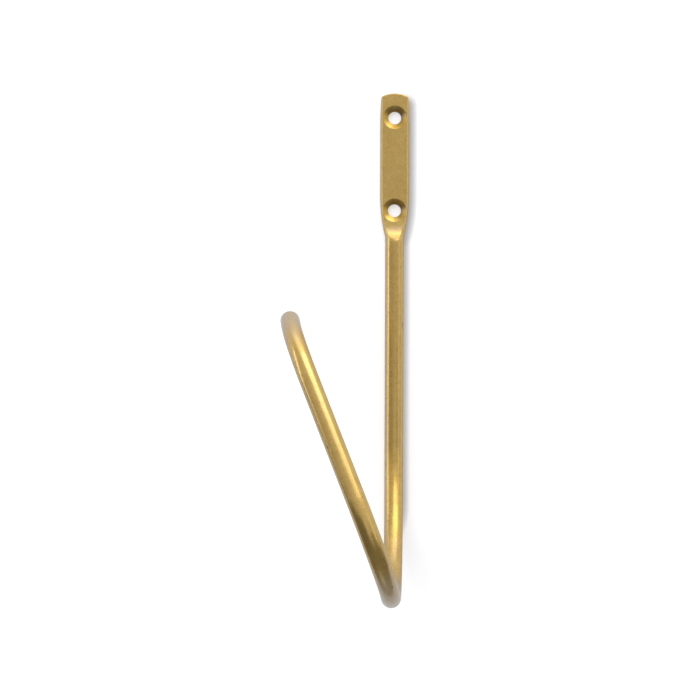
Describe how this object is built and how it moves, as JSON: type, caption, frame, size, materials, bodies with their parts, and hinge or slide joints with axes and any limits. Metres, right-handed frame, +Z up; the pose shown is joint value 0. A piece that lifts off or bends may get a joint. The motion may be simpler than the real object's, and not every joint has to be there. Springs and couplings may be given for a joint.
{
  "type": "curtain holdback",
  "caption": "Curtain holdback of bent round bar: a flat screw-on tongue, a straight stem along the wall, and an open forward hoop that a curtain is tucked behind.",
  "frame": {"origin": "midway between the two screw holes, on the tongue's wall face", "axes": "+Z up the wall along the stem, +Y into the wall, +X to the right as seen from the room; the hoop stands out to -Y and leans to -X"},
  "size_m": [0.0539, 0.0816, 0.2155],
  "materials": {
    "antique_gold": "antique gold, satin, fine-grained"
  },
  "bodies": {
    "root": {"holdback_bar": "antique_gold"}
  },
  "joints": []
}
